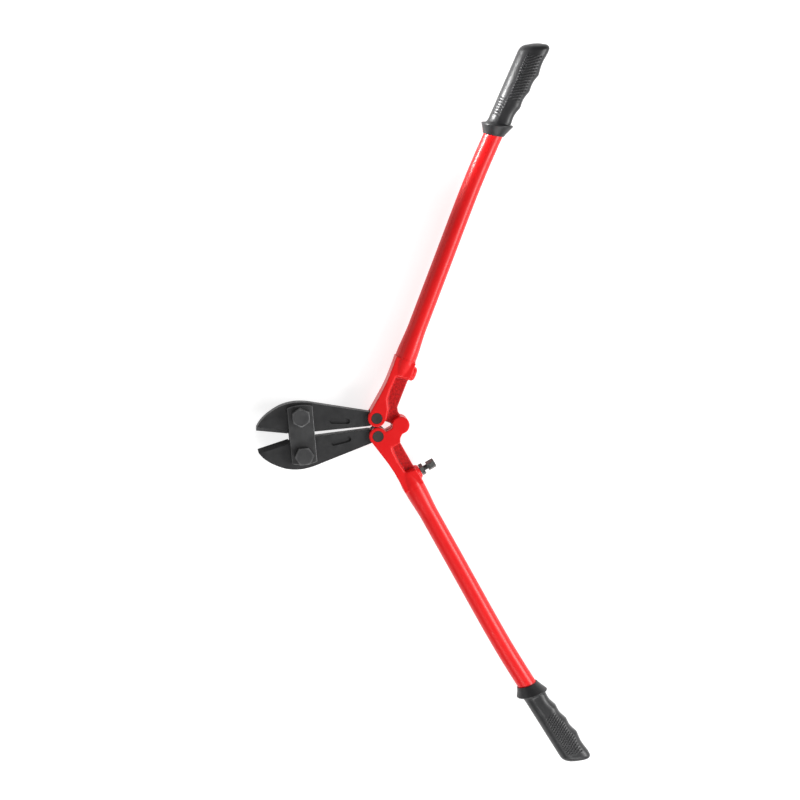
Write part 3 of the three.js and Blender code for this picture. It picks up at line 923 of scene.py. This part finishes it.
def grip_mesh(handed):
    """From the bottom of the bore out over the collar and down the body to the slanted end."""
    bore = TUBE_RADIUS + 0.15
    front_tilt, tilt = 0.17, 0.24
    rings = [round_ring(TUBE_END + 0.5, route_v(TUBE_END), bore)]
    for i in range(9):
        u = TUBE_END - (TUBE_END - GRIP_FRONT - 2) * i / 8
        rings.append(round_ring(u, route_v(u), bore, front_tilt))
    v = route_v(GRIP_FRONT)
    for offset, radius in ((0.5, 13.9), (0.0, 14.4), (0.5, LIP_RADIUS)):
        rings.append(round_ring(GRIP_FRONT + offset, v, radius, front_tilt))
    for i in range(1, 13):
        t = i / 12
        u = GRIP_FRONT + 0.5 + (RIM_AT - 1.2 - GRIP_FRONT - 0.5) * t
        rings.append(round_ring(u, v, LIP_RADIUS + FLARE * t ** 1.15, front_tilt + (tilt - front_tilt) * t))
    for offset, radius in ((-0.7, 21.75), (0.0, 21.9), (0.7, 21.85), (1.3, 21.3)):
        rings.append(round_ring(RIM_AT + offset, v, radius, tilt))
    # the flange's rear face runs in to the body, with a small fillet at its foot
    outer = round_ring(RIM_AT + 1.5, v, 20.8, tilt)
    foot = body_ring(BODY_START, handed, ribs=False)
    for t, rise in ((0.0, 0.0), (0.45, 0.08), (0.75, 0.25), (0.9, 0.5), (1.0, 1.0)):
        rings.append([
            (a[0] + (b[0] - a[0]) * rise, a[1] + (b[1] - a[1]) * t, a[2] + (b[2] - a[2]) * t)
            for a, b in zip(outer, foot)
        ])
    steps = 200
    for i in range(1, steps + 1):
        u = BODY_START + (BODY_END - BODY_START) * i / steps
        turned_in = max(0.0, (u - SLANT_START) / (BODY_END - SLANT_START)) ** 2
        rings.append(body_ring(u, handed, slant=END_SLANT * turned_in))
    return loft(rings + grip_end(handed))


def grip_end(handed):
    """A rounded edge, then the slightly crowned face."""
    rings = []
    for i in range(1, 9):
        a = 0.5 * math.pi * i / 8
        inset, lift = END_ROUNDING * (1 - math.cos(a)), END_ROUNDING * math.sin(a)
        rings.append(body_ring(BODY_END, handed, inset, 1.0, lift, END_SLANT, ribs=False))
    for shrink in (0.85, 0.7, 0.5, 0.3, 0.12, 0.02):
        lift = END_ROUNDING + END_CROWN * (1 - shrink ** 2)
        rings.append(body_ring(BODY_END, handed, END_ROUNDING, shrink, lift, END_SLANT, ribs=False))
    return rings


for side, label in SIDES.items():
    piece(
        f"{label}_grip_shape", grip_mesh(side), HANDLE[side], f"{label}_handle",
        [RUBBER], crisp=False,
    )

# ------------------------------------------------------------------ stop screw and lock nut


def threaded(u, start, end, radius, pitch, sides=48):
    """A shank along v with a real helical thread."""
    depth = 0.6 * pitch
    steps = int((end - start) / pitch * 8)
    rings = []
    for i in range(steps + 1):
        v = start + (end - start) * i / steps
        ring = []
        for k in range(sides):
            a = 2 * math.pi * k / sides
            wave = abs(2 * ((v / pitch - k / sides) % 1.0) - 1)
            r = radius - depth * (1 - wave)
            ring.append((u + r * math.cos(a), v, r * math.sin(a)))
        rings.append(ring)
    return loft(rings)


def hex_along_v(u, across, start, end, chamfer=0.9):
    """A hexagon along v, chamfered at its far (low) end."""
    corner = across / math.sqrt(3)
    prism = loft([[(u + a, v, b) for a, b in circle(corner, 6)] for v in (start, end)])
    rim = corner + 0.1
    profile = [(rim - 1.8 * chamfer, start), (rim, start + chamfer), (rim, end)]
    return joined(prism, lathe_v(u, profile), operation="INTERSECT")


screw_base = SCREW_HEAD_LENGTH - SCREW_REACH
screw_head = rounded(hex_along_v(BOSS_U, SCREW_HEAD_ACROSS, -SCREW_REACH, screw_base), 0.25, 2)
screw_shank = threaded(BOSS_U, screw_base - 1, SCREW_END, SCREW_RADIUS, SCREW_PITCH)
piece(
    "stop_screw_shape", joined(screw_head, screw_shank), HANDLE[-1], "stop_screw_body", [ZINC],
)
nut_seat = LOWER_BOSS_FACE - GAP
lock_nut = cut(
    hex_along_v(BOSS_U, LOCK_NUT_ACROSS, nut_seat - LOCK_NUT_LENGTH, nut_seat, 0.8),
    lathe_v(BOSS_U, [(SCREW_RADIUS + 0.15, -5), (SCREW_RADIUS + 0.15, 20)]),
)
piece("stop_lock_nut_shape", rounded(lock_nut, 0.25, 2), HANDLE[-1], "lock_nut_body", [ZINC])

# ------------------------------------------------------------------ studio


def floor():
    """A plain pale floor just under the tool, glowing a little so that it shows white."""
    bm = bmesh.new()
    bmesh.ops.create_grid(bm, x_segments=1, y_segments=1, size=6)
    mesh = mesh_from(bm)
    obj = bpy.data.objects.new("floor", mesh)
    obj.location.z = -0.0005
    bpy.context.scene.collection.objects.link(obj)
    surface = Surface(
        "pale_floor", specular_ior_level=0.2, emission_color=(1, 1, 1, 1), emission_strength=0.78,
    )
    surface.colour(surface.ramp(surface.noise(3), [(0.3, (0.45, 0.45, 0.45)), (0.7, (0.47, 0.47, 0.47))]))
    surface.roughness(surface.spread(surface.noise(8), 0.75, 0.85))
    mesh.materials.append(surface.material)


def area_light(name, at, size, power, aim=(0, 0, 0), spread=180):
    """A soft box aimed at a point; both places are measured from the centre pivot."""
    data = bpy.data.lights.new(name, "AREA")
    data.shape = "RECTANGLE"
    data.size, data.size_y = size
    data.energy = power
    data.spread = math.radians(spread)
    obj = bpy.data.objects.new(name, data)
    obj.location = CENTRE + Vector(at)
    obj.rotation_euler = (Vector(aim) - Vector(at)).to_track_quat("-Z", "Y").to_euler()
    bpy.context.scene.collection.objects.link(obj)


def studio():
    """A dim white sky, soft boxes on three sides, and a small lamp close beside the upper grip's collar."""
    world = bpy.data.worlds.new("studio")
    world.use_nodes = True
    background = world.node_tree.nodes["Background"]
    background.inputs["Color"].default_value = (1, 1, 1, 1)
    background.inputs["Strength"].default_value = 0.25
    bpy.context.scene.world = world
    area_light("right", (2.4, -0.35, 1.55), (1.8, 1.0), 76)
    area_light("front", (0.1, -1.6, 1.2), (1.6, 1.0), 22)
    area_light("left", (-2.6, 0.3, 1.5), (2.4, 2.0), 13)
    area_light("grip_edge", (-0.1, 0.535, 0.03), (0.14, 0.08), 0.42, aim=(0.185, 0.455, 0), spread=55)
    bpy.context.scene.view_settings.view_transform = "Standard"


def camera():
    """The photograph's view: almost from above, level with the tool's middle."""
    right = Vector((0.99129, -0.06687, 0.11348))
    up = Vector((0.08666, 0.97993, -0.17954))
    back = Vector((-0.09919, 0.18781, 0.97718))
    distance = 4.2632
    raise_by = 0.0338
    focal_pixels, picture, sensor = 3000.1, 800, 36
    data = bpy.data.cameras.new("camera")
    data.sensor_width = sensor
    data.lens = focal_pixels * sensor / picture
    data.clip_end = 50
    obj = bpy.data.objects.new("camera", data)
    turn = Matrix((right, up, back)).transposed().to_4x4()
    obj.matrix_world = Matrix.Translation(CENTRE + up * raise_by + back * distance) @ turn
    bpy.context.scene.collection.objects.link(obj)
    bpy.context.scene.camera = obj


floor()
studio()
camera()
